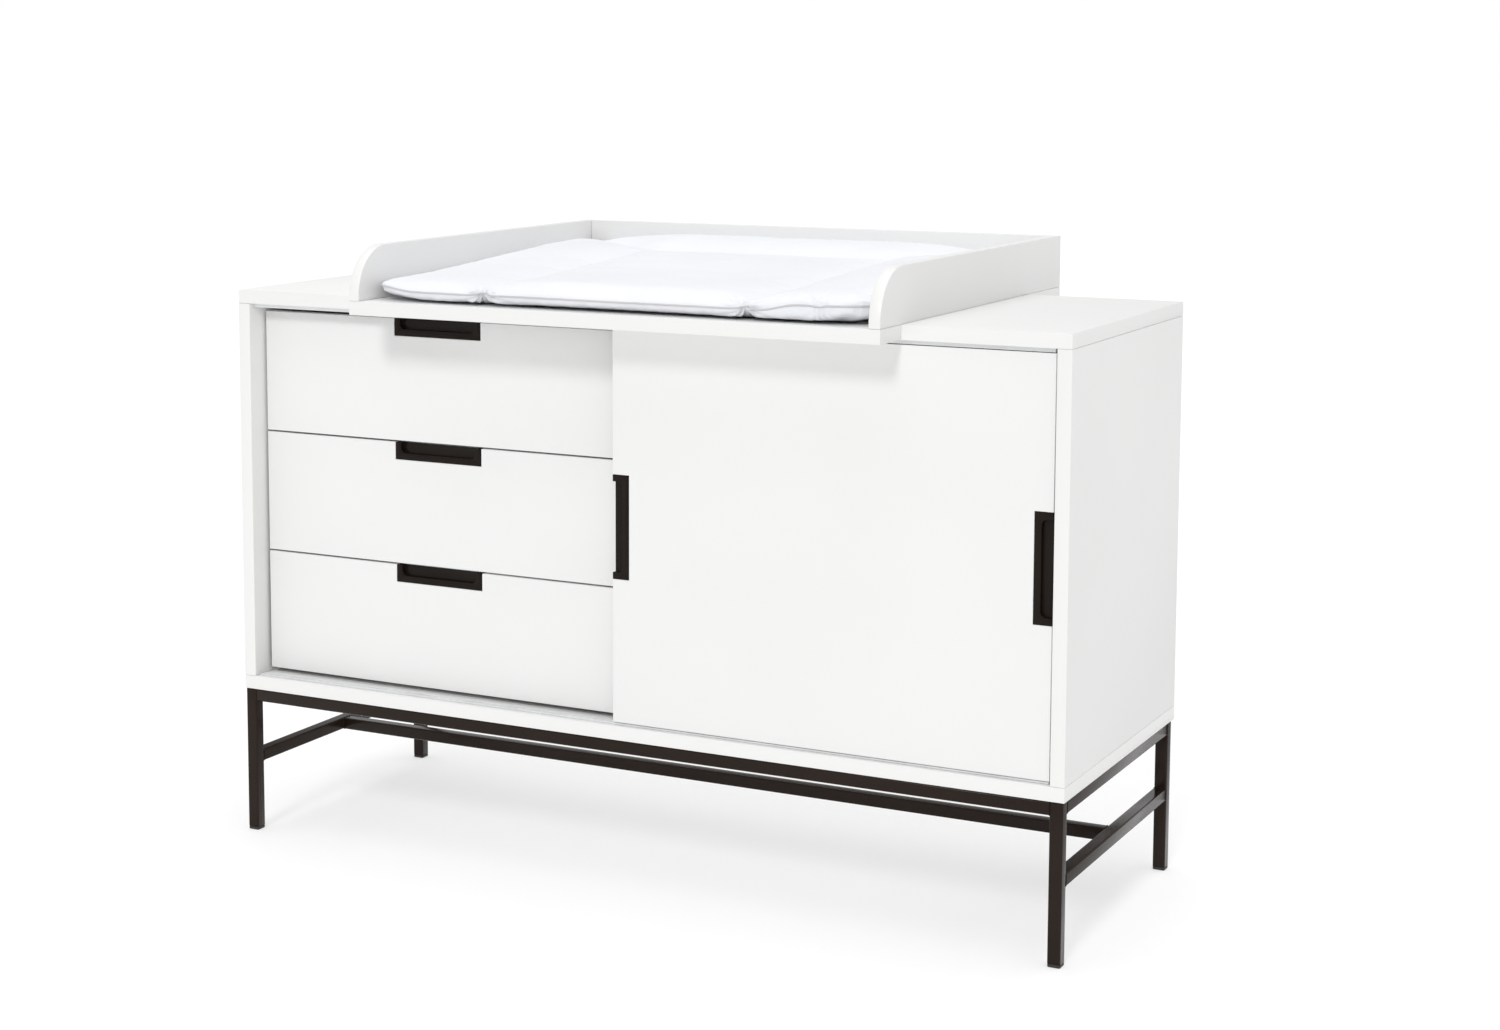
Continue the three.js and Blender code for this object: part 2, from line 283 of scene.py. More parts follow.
def cotton(name, colour, shade, crease):
    """Plain woven cotton: two crossing threads, soft creases and a little sheen."""
    s = Shader(name)
    threads = s.math("MAXIMUM", s.wave(330, "X", 0.6), s.wave(330, "Y", 0.6))
    cloud = s.noise(5, 4)
    weave = s.math("ADD", s.math("MULTIPLY", threads, 0.3), cloud)
    s.colour(s.colours(s.range(weave, 0, 1, 0.4, 0.85), shade, colour))
    s.roughness(s.range(cloud, 0.82, 0.95, 0.3, 0.7))
    s.set(Sheen_Weight=0.25, Sheen_Roughness=0.5)
    s.bump(s.noise(16, 4, (1, 1.6, 1), 0.55), crease, 0.012)
    s.bump(s.noise(55, 3, (1.7, 1, 1)), crease * 0.6, 0.003)
    s.bump(threads, 0.2, 0.0004)
    return s.material


def make_materials():
    white, band = (0.865, 0.865, 0.858), (0.862, 0.861, 0.852)
    inner, inner_band = (0.80, 0.795, 0.775), (0.83, 0.82, 0.79)
    brown, pale_brown = (0.0175, 0.0108, 0.0078), (0.0215, 0.0136, 0.0100)
    cup, pale_cup = (0.0095, 0.0058, 0.0040), (0.0125, 0.0078, 0.0056)
    made = {}
    for axis in "XYZ":
        made[f"white_board_{axis}"] = board_material(f"white_foil_{axis}", axis, white, band)
        made[f"drawer_board_{axis}"] = board_material(f"drawer_foil_{axis}", axis, inner, inner_band)
    made["dark_steel"] = powder_coat("frame_powder_coat", brown, pale_brown)
    made["dark_handle"] = powder_coat("handle_powder_coat", cup, pale_cup)
    made["track_metal"] = brushed_metal("anodised_track", (0.82, 0.835, 0.84), 0.46, (0.02, 1, 1), 0.2)
    made["runner_steel"] = brushed_metal("zinc_plated_steel", (0.60, 0.61, 0.63), 0.30, (1, 0.03, 1))
    made["foot_plastic"] = plastic("black_foot_plastic", (0.022, 0.020, 0.018), 0.5)
    made["guide_plastic"] = plastic("grey_nylon", (0.52, 0.51, 0.48), 0.45)
    made["cap_plastic"] = plastic("white_cap_plastic", (0.80, 0.80, 0.78), 0.4)
    made["pad_fabric"] = cotton("pad_cotton", (0.885, 0.90, 0.935), (0.84, 0.857, 0.90), 0.16)
    # The piping's grey is painted shadow: it stands in for the dark line of shade under the seam of a white
    # cotton cover.
    made["pad_piping"] = cotton("piping_painted_seam_shadow", (0.62, 0.61, 0.62), (0.54, 0.535, 0.55), 0.05)
    made["thread"] = cotton("white_thread", (0.88, 0.89, 0.92), (0.80, 0.81, 0.85), 0.05)
    return made


# ---------------------------------------------------------------- CAD nodes

SOFTENED = {
    "white_board": 0.7 * MM,
    "drawer_board": 0.5 * MM,
    "dark_steel": 0.35 * MM,
    "dark_handle": 0.4 * MM,
    "track_metal": 0.25 * MM,
    "runner_steel": 0.2 * MM,
    "foot_plastic": 0.2 * MM,
    "guide_plastic": 0.6 * MM,
}


def soften(piece, width, segments=2):
    """Rounds the hard edges. Touching triangles are joined first, so that only real edges are rounded."""
    weld = piece.modifiers.new("weld", "WELD")
    weld.merge_threshold = 0.02 * MM
    flat = piece.modifiers.new("flat", "DECIMATE")
    flat.decimate_type = "DISSOLVE"
    flat.angle_limit = math.radians(0.5)
    bevel = piece.modifiers.new("bevel", "BEVEL")
    bevel.width = width
    bevel.segments = segments
    bevel.limit_method = "ANGLE"
    bevel.angle_limit = math.radians(32)
    bevel.harden_normals = True
    for polygon in piece.data.polygons:
        polygon.use_smooth = True


def thin_axis(node):
    low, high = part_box(node)
    size = high - low
    return "XYZ"[min(range(3), key=lambda k: size[k])]


def finish_cad(materials):
    slots = {p["node"]: p["material_slot"] for p in frame["record"]["subparts"]}
    for node, piece in frame["nodes"].items():
        name = slots[node]
        if name == "pad_fabric":
            continue
        key = f"{name}_{thin_axis(node)}" if name.endswith("board") else name
        piece.data.materials.clear()
        piece.data.materials.append(materials[key])
        soften(piece, SOFTENED[name])


# ---------------------------------------------------------------- small maths


def smooth(t):
    """0 to 1 with a soft start and end."""
    t = min(1.0, max(0.0, t))
    return t * t * (3 - 2 * t)


def mix(a, b, share):
    return a + (b - a) * share


def bell(distance, width):
    return math.exp(-((distance / width) ** 2))


def crown(distance, reach):
    """Rises from 0 at the seam to 1 at the reach, as a pillow does."""
    t = min(1.0, distance / reach)
    return math.sqrt(max(0.0, 1 - (1 - t) ** 2))


def polar(radius, degrees):
    a = math.radians(degrees)
    return radius * math.cos(a), radius * math.sin(a)


def round_bar(length, half, steps=8):
    """A bar along X with round ends."""
    ends = []
    for centre, start in ((length / 2 - half, -90), (half - length / 2, 90)):
        for k in range(steps + 1):
            x, y = polar(half, start + 180 * k / steps)
            ends.append((centre + x, y))
    return ends


def tube_along(path, radius, sides=8, axis=Vector((0, 0, 1))):
    """Points and faces of a closed tube round a path of vectors, which turns about the axis."""
    points, faces = [], []
    count = len(path)
    for k, place in enumerate(path):
        along = (path[(k + 1) % count] - path[k - 1]).normalized()
        side = along.cross(axis).normalized()
        up = side.cross(along)
        for i in range(sides):
            across, rise = polar(1, 360 * i / sides)
            points.append(place + radius * (across * side + rise * up))
    for k in range(count):
        a, b = k * sides, ((k + 1) % count) * sides
        faces += [(a + i, b + i, b + (i + 1) % sides, a + (i + 1) % sides) for i in range(sides)]
    return points, faces


def facing(direction, place):
    """A placement that turns +Z to the direction and moves to the place."""
    turn = Vector(direction).to_track_quat("Z", "Y").to_matrix().to_4x4()
    return Matrix.Translation(place) @ turn


# ---------------------------------------------------------------- piece helpers

CROSS_WIDE, CROSS_LONG, CROSS_DEEP = 0.16, 0.55, 0.55  # recess, as shares of the head's radius and height
SCREW_SIDES = 32
SCREW_RINGS = 7


def add_piece(name, points, faces, material, body):
    mesh = bpy.data.meshes.new(name)
    mesh.from_pydata(points, [], faces)
    mesh.validate()
    mesh.polygons.foreach_set("use_smooth", [True] * len(mesh.polygons))
    mesh.materials.append(material)
    piece = bpy.data.objects.new(name, mesh)
    bpy.context.scene.collection.objects.link(piece)
    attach(piece, body)
    return piece


class Shape:
    """Collects closed solids that become one piece."""

    def __init__(self):
        self.points = []
        self.faces = []

    def add(self, points, faces, place=Matrix.Identity(4)):
        start = len(self.points)
        self.points += [place @ Vector(p) for p in points]
        self.faces += [tuple(start + i for i in face) for face in faces]

    def prism(self, outline, low, high, place=Matrix.Identity(4)):
        """An outline in X and Y, anticlockwise, raised from low to high."""
        n = len(outline)
        points = [(x, y, low) for x, y in outline] + [(x, y, high) for x, y in outline]
        sides = [(i, (i + 1) % n, (i + 1) % n + n, i + n) for i in range(n)]
        self.add(points, [tuple(range(n - 1, -1, -1)), tuple(range(n, 2 * n)), *sides], place)

    def lathe(self, profile, place, sides=24, shape=lambda point: point):
        """A profile of (radius, height) from the axis at the bottom to the axis at the top."""
        points = [(0, 0, profile[0][1])]
        for radius, height in profile[1:-1]:
            points += [shape((*polar(radius, 360 * i / sides), height)) for i in range(sides)]
        points.append(shape((0, 0, profile[-1][1])))
        faces = [(0, 1 + (i + 1) % sides, 1 + i) for i in range(sides)]
        rings = len(profile) - 2
        for r in range(rings - 1):
            a, b = 1 + r * sides, 1 + (r + 1) * sides
            faces += [(a + i, a + (i + 1) % sides, b + (i + 1) % sides, b + i) for i in range(sides)]
        last, tip = 1 + (rings - 1) * sides, len(points) - 1
        faces += [(last + i, last + (i + 1) % sides, tip) for i in range(sides)]
        self.add(points, faces, place)

    def screw(self, radius, height, place, direction):
        """A pan head with a cross recess."""
        wide, long, deep = CROSS_WIDE * radius, CROSS_LONG * radius, CROSS_DEEP * height

        def recess(point):
            x, y, z = point
            in_cross = (abs(x) < wide and abs(y) < long) or (abs(y) < wide and abs(x) < long)
            return (x, y, z - deep) if in_cross and z > 0.5 * height else point

        profile = [(0, 0), (radius * 0.98, 0), (radius, height * 0.35), (radius * 0.97, height * 0.65)]
        for k in range(1, SCREW_RINGS):
            profile.append((radius * (1 - k / SCREW_RINGS), height * (0.72 + 0.28 * k / SCREW_RINGS)))
        profile.append((0, height))
        self.lathe(profile, facing(direction, place), SCREW_SIDES, recess)

    def piece(self, name, materials, body, slot, look=None):
        """The look names the material where it isn't the slot's own."""
        return add_piece(name, self.points, self.faces, materials[look or slot], body)


# ---------------------------------------------------------------- drawer slides

FIXED_WALL = 1.4 * MM
FIXED_ROOM = 3.6 * MM  # between the fixed half's wall and the moving half
SLIDE_GAP = 0.35 * MM  # between the moving half and the drawer's side
SLIDE_WALL = 1.3 * MM
SLIDE_HALF = 14.5 * MM  # half its height
SLIDE_SHORTER = 1 * MM  # than the side board, at each end
SLIDE_BEVEL = 0.25 * MM
SLIDE_HOLES = (0.07, 0.45, 0.9)  # shares of its length
SLIDE_SCREW = (3.2 * MM, 1.3 * MM)  # radius and height of the head
BALL = 3.1 * MM
BALL_PITCH = 16 * MM
CAGE_BALLS = 12
CAGE_START = 20 * MM  # from the runner's front end
CAGE_EDGES = (2 * MM, 7.4 * MM)  # from the runner's outer face
CAGE_HALF = 0.4 * MM  # half its thickness


def both_runners(drawer):
    """Side name, which way the drawer lies, and the boxes of the fixed runner and the drawer's side board."""
    for side, way in (("left", 1), ("right", -1)):
        yield side, way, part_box(f"{drawer}_{side}_runner"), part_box(f"{drawer}_{side}_side")


def add_slides(materials):
    """The moving half of each runner: a channel screwed to the drawer's side, inside the fixed one."""
    for drawer in DRAWERS:
        screws = Shape()
        for side, way, (fixed_low, fixed_high), (board_low, board_high) in both_runners(drawer):
            board, wall = (board_low.x, fixed_low.x) if way > 0 else (board_high.x, fixed_high.x)
            far = wall + way * (FIXED_WALL + FIXED_ROOM)
            reach = abs(board - far) - SLIDE_GAP
            h, t = SLIDE_HALF, SLIDE_WALL
            outline = [(0, -h), (reach, -h), (reach, t - h), (t, t - h)]
            outline += [(t, h - t), (reach, h - t), (reach, h), (0, h)]
            start, stop = board_low.y + SLIDE_SHORTER, board_high.y - SLIDE_SHORTER
            face, middle = board - way * SLIDE_GAP, (fixed_low.z + fixed_high.z) / 2
            rows = ((-way, 0, 0, face), (0, 0, 1, (start + stop) / 2), (0, way, 0, middle), (0, 0, 0, 1))
            shape = Shape()
            shape.prism(outline, (start - stop) / 2, (stop - start) / 2, Matrix(rows))
            soften(shape.piece(f"{drawer}_{side}_slide", materials, drawer, "runner_steel"), SLIDE_BEVEL)
            for share in SLIDE_HOLES:
                spot = (face - way * SLIDE_WALL, mix(start, stop, share), middle)
                screws.screw(*SLIDE_SCREW, spot, (-way, 0, 0))
        screws.piece(f"{drawer}_slide_screws", materials, drawer, "runner_steel")


def add_ball_cages(materials):
    """A strip with a row of balls runs above and below each moving slide, inside the fixed runner."""
    balls, cages = Shape(), Shape()
    profile = [(0, -BALL), *(polar(BALL, degrees) for degrees in range(-75, 76, 15)), (0, BALL)]
    for drawer in DRAWERS:
        for _, way, (low, high), _ in both_runners(drawer):
            wall = low.x if way > 0 else high.x
            left, right = sorted(wall + way * edge for edge in CAGE_EDGES)
            near = low.y + CAGE_START
            far = near + CAGE_BALLS * BALL_PITCH
            inner = (high.z - low.z) / 2 - FIXED_WALL
            for end in (-1, 1):
                z = (low.z + high.z) / 2 + end * (inner + SLIDE_HALF) / 2
                for k in range(CAGE_BALLS):
                    spot = (wall + way * (FIXED_WALL + BALL + CLEAR), near + (k + 0.5) * BALL_PITCH, z)
                    balls.lathe(profile, Matrix.Translation(spot), 12)
                strip = [(left, near), (right, near), (right, far), (left, far)]
                cages.prism(strip, z - CAGE_HALF, z + CAGE_HALF)
    balls.piece("runner_balls", materials, "cabinet", "runner_steel")
    cages.piece("runner_cages", materials, "cabinet", "guide_plastic")


# ---------------------------------------------------------------- shelf pins, cam covers and back panel

PIN_INSET = 40 * MM  # from the shelf's front and back edges
PIN_DROP = 4.7 * MM  # of the pin's axis below the shelf
PIN_PROFILE = ((0, 0), (4.2, 0), (4.5, 0.4), (4.5, 1.3), (2.5, 1.7), (2.5, 9.4), (2.1, 10), (0, 10))  # in mm
CAP_RADIUS = 8.5 * MM
CAP_CHAMFER = 0.3 * MM
CAP_RIM = 0.5 * MM
CAP_DOME = 0.9 * MM
CAP_SIDE = 34 * MM  # from the upright boards
CAP_END = 60 * MM  # from the front and the back
BACK_SCREW = (3.4 * MM, 1.5 * MM)
BACK_INSET = 9 * MM
BACK_SIDE_START = 150 * MM  # of the screws up the sides, from the corner screws
BACK_MIDDLE_START = 100 * MM


def add_shelf_pins(materials):
    """Four metal pins under the shelf: a stub with a collar against the board."""
    low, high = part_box("cupboard_shelf")
    walls = ((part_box("centre_partition")[1].x, 1), (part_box("right_side_panel")[0].x, -1))
    profile = [(radius * MM, height * MM) for radius, height in PIN_PROFILE]
    shape = Shape()
    for wall, way in walls:
        for y in (low.y + PIN_INSET, high.y - PIN_INSET):
            shape.lathe(profile, facing((way, 0, 0), (wall + way * CLEAR, y, low.z - PIN_DROP)))
    shape.piece("shelf_pins", materials, "cabinet", "runner_steel")


def add_cam_caps(materials):
    """Domed covers over the cam fittings, in the top and bottom panels."""
    profile = [(0, 0), (CAP_RADIUS - CAP_CHAMFER, 0)]
    for degrees in range(0, 90, 20):
        across, up = polar(1, degrees)
        profile.append((CAP_RADIUS * across, CAP_RIM + CAP_DOME * up))
    profile.append((0, CAP_RIM + CAP_DOME))
    left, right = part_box("left_side_panel")[1].x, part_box("right_side_panel")[0].x
    split_low, split_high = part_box("centre_partition")
    floor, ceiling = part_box("bottom_panel")[1].z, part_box("top_panel")[0].z
    shape = Shape()
    for x in (left + CAP_SIDE, split_low.x - CAP_SIDE, split_high.x + CAP_SIDE, right - CAP_SIDE):
        for y in (split_low.y + CAP_END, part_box("back_panel")[0].y - CAP_END):
            shape.lathe(profile, facing((0, 0, 1), (x, y, floor + SEAT)), 32)
            shape.lathe(profile, facing((0, 0, -1), (x, y, ceiling - SEAT)), 32)
    shape.piece("cam_covers", materials, "cabinet", "white_board", "cap_plastic")


def add_back_screws(materials):
    """Pan-head screws round the back panel and up the partition behind it."""
    low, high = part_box("back_panel")
    split_low, split_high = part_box("centre_partition")
    left, right, middle = low.x + BACK_INSET, high.x - BACK_INSET, (split_low.x + split_high.x) / 2
    down, up = low.z + BACK_INSET, high.z - BACK_INSET
    rows = (  # first and last place in X and Z, number of screws
        ((left, down), (right, down), 8),
        ((left, up), (right, up), 8),
        ((left, down + BACK_SIDE_START), (left, up - BACK_SIDE_START), 3),
        ((right, down + BACK_SIDE_START), (right, up - BACK_SIDE_START), 3),
        ((middle, down + BACK_MIDDLE_START), (middle, up - BACK_MIDDLE_START), 4),
    )
    shape = Shape()
    for start, stop, count in rows:
        for k in range(count):
            x, z = (mix(a, b, k / (count - 1)) for a, b in zip(start, stop))
            shape.screw(*BACK_SCREW, (x, high.y + SEAT, z), (0, 1, 0))
    shape.piece("back_panel_screws", materials, "cabinet", "runner_steel")


# ---------------------------------------------------------------- tray and tip brackets

BRACKET_PLACES = (-340 * MM, 0, 340 * MM)  # from the ledge's middle
BRACKET_WIDTH = 26 * MM
BRACKET_LEG = 42 * MM
BRACKET_THICK = 2 * MM
BRACKET_BEND = 3 * MM
BRACKET_BEVEL = 0.3 * MM
BRACKET_HOLES = (14 * MM, 33 * MM)  # from the bend
BRACKET_SCREW = (3.6 * MM, 1.8 * MM)
TIP_FROM_SIDE = 90 * MM
TIP_BELOW_LEDGE = 60 * MM
TIP_PLATE = (54 * MM, 11 * MM, 12)  # length, half height, steps round an end
TIP_LOOP_WIDE, TIP_LOOP_DEEP = 9 * MM, 4.5 * MM  # half sizes
TIP_LOOP_START = 2.2 * MM  # from the back panel
TIP_LOOP_STEPS = 24
TIP_WIRE = 1.5 * MM
TIP_HOLE = 19 * MM  # from the plate's middle


def bracket_outline():
    """An angle section: one leg along +X and one along +Y, with a rounded outer corner at the origin."""
    leg, thick, bend = BRACKET_LEG, BRACKET_THICK, BRACKET_BEND
    root = thick + 1 * MM
    corner = [(bend + x, bend + y) for x, y in (polar(bend, degrees) for degrees in range(180, 271, 15))]
    return [(leg, 0), (leg, thick), (root, thick), (thick, root), (thick, leg), (0, leg), *corner]


def add_tray_brackets(materials):
    """Three steel angles between the tray's rear ledge and the back of the carcass."""
    ledge_low, ledge_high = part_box("tray_rear_ledge")
    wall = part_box("back_panel")[1].y + CLEAR
    under = ledge_low.z - CLEAR
    brackets, screws = Shape(), Shape()
    for offset in BRACKET_PLACES:
        x = (ledge_low.x + ledge_high.x) / 2 + offset
        turn = Matrix(((0, 0, -1, x), (1, 0, 0, wall), (0, -1, 0, under), (0, 0, 0, 1)))
        brackets.prism(bracket_outline(), -BRACKET_WIDTH / 2, BRACKET_WIDTH / 2, turn)
        for hole in BRACKET_HOLES:
            screws.screw(*BRACKET_SCREW, (x, wall + hole, under - BRACKET_THICK), (0, 0, -1))
            screws.screw(*BRACKET_SCREW, (x, wall + BRACKET_THICK, under - hole), (0, 1, 0))
    soften(brackets.piece("tray_brackets", materials, "cabinet", "runner_steel"), BRACKET_BEVEL)
    screws.piece("tray_bracket_screws", materials, "cabinet", "runner_steel")


def add_tip_bracket(materials):
    """A small plate with a strap loop on the back, against tipping."""
    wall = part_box("back_panel")[1].y + CLEAR
    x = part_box("right_side_panel")[0].x - TIP_FROM_SIDE
    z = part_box("tray_rear_ledge")[0].z - TIP_BELOW_LEDGE
    turn = Matrix(((1, 0, 0, x), (0, 0, -1, wall), (0, 1, 0, z), (0, 0, 0, 1)))
    plate, screws = Shape(), Shape()
    plate.prism(round_bar(*TIP_PLATE), -BRACKET_THICK, 0, turn)
    loop = []
    for k in range(TIP_LOOP_STEPS):
        across, out = polar(1, 360 * k / TIP_LOOP_STEPS)
        y = wall + TIP_LOOP_START + TIP_LOOP_DEEP * (1 + out)
        loop.append(Vector((x + TIP_LOOP_WIDE * across, y, z)))
    plate.add(*tube_along(loop, TIP_WIRE, 10))
    for shift in (-TIP_HOLE, TIP_HOLE):
        screws.screw(*BRACKET_SCREW, (x + shift, wall + BRACKET_THICK, z), (0, 1, 0))
    plate.piece("tip_bracket", materials, "cabinet", "runner_steel")
    screws.piece("tip_bracket_screws", materials, "cabinet", "runner_steel")


# ---------------------------------------------------------------- base and door fittings

# 0 runs along X, 1 along Y
STRETCHERS = (("left_stretcher", 1), ("right_stretcher", 1), ("centre_stretcher", 0))
TOP_RAILS = (("front_top_rail", 0), ("rear_top_rail", 0), ("left_top_rail", 1), ("right_top_rail", 1))
BASE_SCREW = (4.2 * MM, 2 * MM)
TUBE_CORNER = 2.5 * MM
WELD_RADIUS = 0.9 * MM
GLIDE_INSET = 78 * MM  # from the door's ends
GLIDE_PLATE = (20 * MM, 4 * MM)  # length and half width
GLIDE_THICK = 1.2 * MM
GLIDE_FIN = (16 * MM, 1.3 * MM)
FIN_DEPTH = 1.4 * MM  # in the bottom track's groove
FIN_TOP = 0.7 * MM  # below the door


def add_base_screws(materials):
    """Screws up through the top rails into the bottom panel."""
    shape = Shape()
    for rail, along in TOP_RAILS:
        low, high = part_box(rail)
        for share in (0.15, 0.5, 0.85):
            spot = (low + high) / 2
            spot[along] = mix(low[along], high[along], share)
            spot.z = low.z - SEAT
            shape.screw(*BASE_SCREW, spot, (0, 0, -1))
    shape.piece("base_screws", materials, "cabinet", "runner_steel")


def add_weld_beads(materials):
    """A thin bead round the end of each cross tube, where it meets the tube it is welded to."""
    shape = Shape()
    for tube, along in STRETCHERS + TOP_RAILS:
        low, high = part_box(tube)
        across = 1 - along
        flat_wide = (high[across] - low[across]) / 2 - TUBE_CORNER
        flat_high = (high.z - low.z) / 2 - TUBE_CORNER
        for end in (low[along], high[along]):
            path = []
            for quarter, (way, rise) in enumerate(((1, 1), (-1, 1), (-1, -1), (1, -1))):
                for step in range(4):
                    a, b = polar(TUBE_CORNER, 90 * quarter + 30 * step)
                    spot = (low + high) / 2
                    spot[along] = end
                    spot[across] += way * flat_wide + a
                    spot.z += rise * flat_high + b
                    path.append(spot)
            shape.add(*tube_along(path, WELD_RADIUS, 6, Vector((across, along, 0))))
    shape.piece("weld_beads", materials, "cabinet", "dark_steel")


def add_door_glides(materials):
    """Two nylon glides under the door, each with a fin in the bottom track's groove."""
    low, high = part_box("door_panel")
    track_low, track_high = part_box("door_bottom_track")
    shape = Shape()
    for x in (low.x + GLIDE_INSET, high.x - GLIDE_INSET):
        place = Matrix.Translation((x, (track_low.y + track_high.y) / 2, 0))
        shape.prism(round_bar(*GLIDE_PLATE), low.z - GLIDE_THICK, low.z - CLEAR, place)
        shape.prism(round_bar(*GLIDE_FIN), track_high.z - FIN_DEPTH, low.z - FIN_TOP, place)
    shape.piece("door_bottom_glides", materials, "door", "guide_plastic")


# ---------------------------------------------------------------- pad

PAD_FINE = 2.6 * MM
PAD_COARSE = 9 * MM
PAD_CORNER = (66 * MM, 46 * MM)  # front, back
PAD_REST = 0.5 * MM
BELLY = 5 * MM  # how far the underside bulges out below the seam
BELLY_REACH = 14 * MM
DRAW_BACK, DRAW_WIDTH, DRAW_DEPTH = 6 * MM, 15 * MM, 90 * MM  # of the front edge at a gather
SEAM_FRONT, SEAM_BACK = 17.5 * MM, 36 * MM  # heights above the board
SEAM_RISES = ((1, 262 * MM, 62 * MM, 11 * MM), (-1, 330 * MM, 60 * MM, 6 * MM))  # side, start, width, rise
PINCH_RISE, PINCH_WIDTH = 3.5 * MM, 12 * MM
SMALL_DIP, SMALL_WIDTH = 2.5 * MM, 9 * MM
CURL, CURL_REACH = 4.5 * MM, 70 * MM  # of the underside at its edge
CORNER_CURL, CORNER_START, CORNER_WIDTH = 9 * MM, 325 * MM, 85 * MM
NOTCH, NOTCH_WIDTH = 8 * MM, 7.5 * MM
FRONT_REACH = 110 * MM
VALLEY = (26 * MM, 50 * MM)  # height of the channels, front and back
FRONT_PANEL, BACK_PANEL = (37 * MM, 70 * MM), (68 * MM, 125 * MM)  # full height, and how soon it is reached
LEFT_ROLL, RIGHT_ROLL, BACK_ROLL, ROLL_REACH = 32 * MM, 43 * MM, 60 * MM, 90 * MM
PINCHES = (-208 * MM, 239 * MM)
SMALL_GATHER = 356 * MM
GATHERS = ((PINCHES[0], 1.0), (PINCHES[1], 1.0), (SMALL_GATHER, 0.4))
CROSS_SEAM = 170 * MM  # row Y of the seam behind the middle panel
CHANNEL_END = 42 * MM  # how far the diagonal channels stop from the back corners
PAD_CAP = 8 * MM
SIM_FRAMES = 20
FOLDS = 15  # folds in a full turn round a gather
FOLD_DEPTH, FOLD_START, FOLD_REACH, FOLD_LIMIT = 5.5 * MM, 4 * MM, 34 * MM, 110 * MM
PUCKER_DEPTH, PUCKER_START, PUCKER_REACH = 2.2 * MM, 5 * MM, 26 * MM
PIPING_RADIUS, PIPING_OUT = 1.3 * MM, 1.0 * MM
STITCH_PITCH = 6 * MM
STITCH_END, STITCH_MIDDLE, STITCH_TAPER = 0.22 * MM, 0.32 * MM, 0.1 * MM


def graded(low, high, features):
    """Steps from low to high, finer near both ends and the features."""
    places = [low]
    while places[-1] < high:
        near = min(abs(places[-1] - f) for f in (low, high, *features))
        places.append(places[-1] + min(PAD_COARSE, PAD_FINE + 0.16 * near))
    scale = (high - low) / (places[-1] - low)
    return [low + (place - low) * scale for place in places]


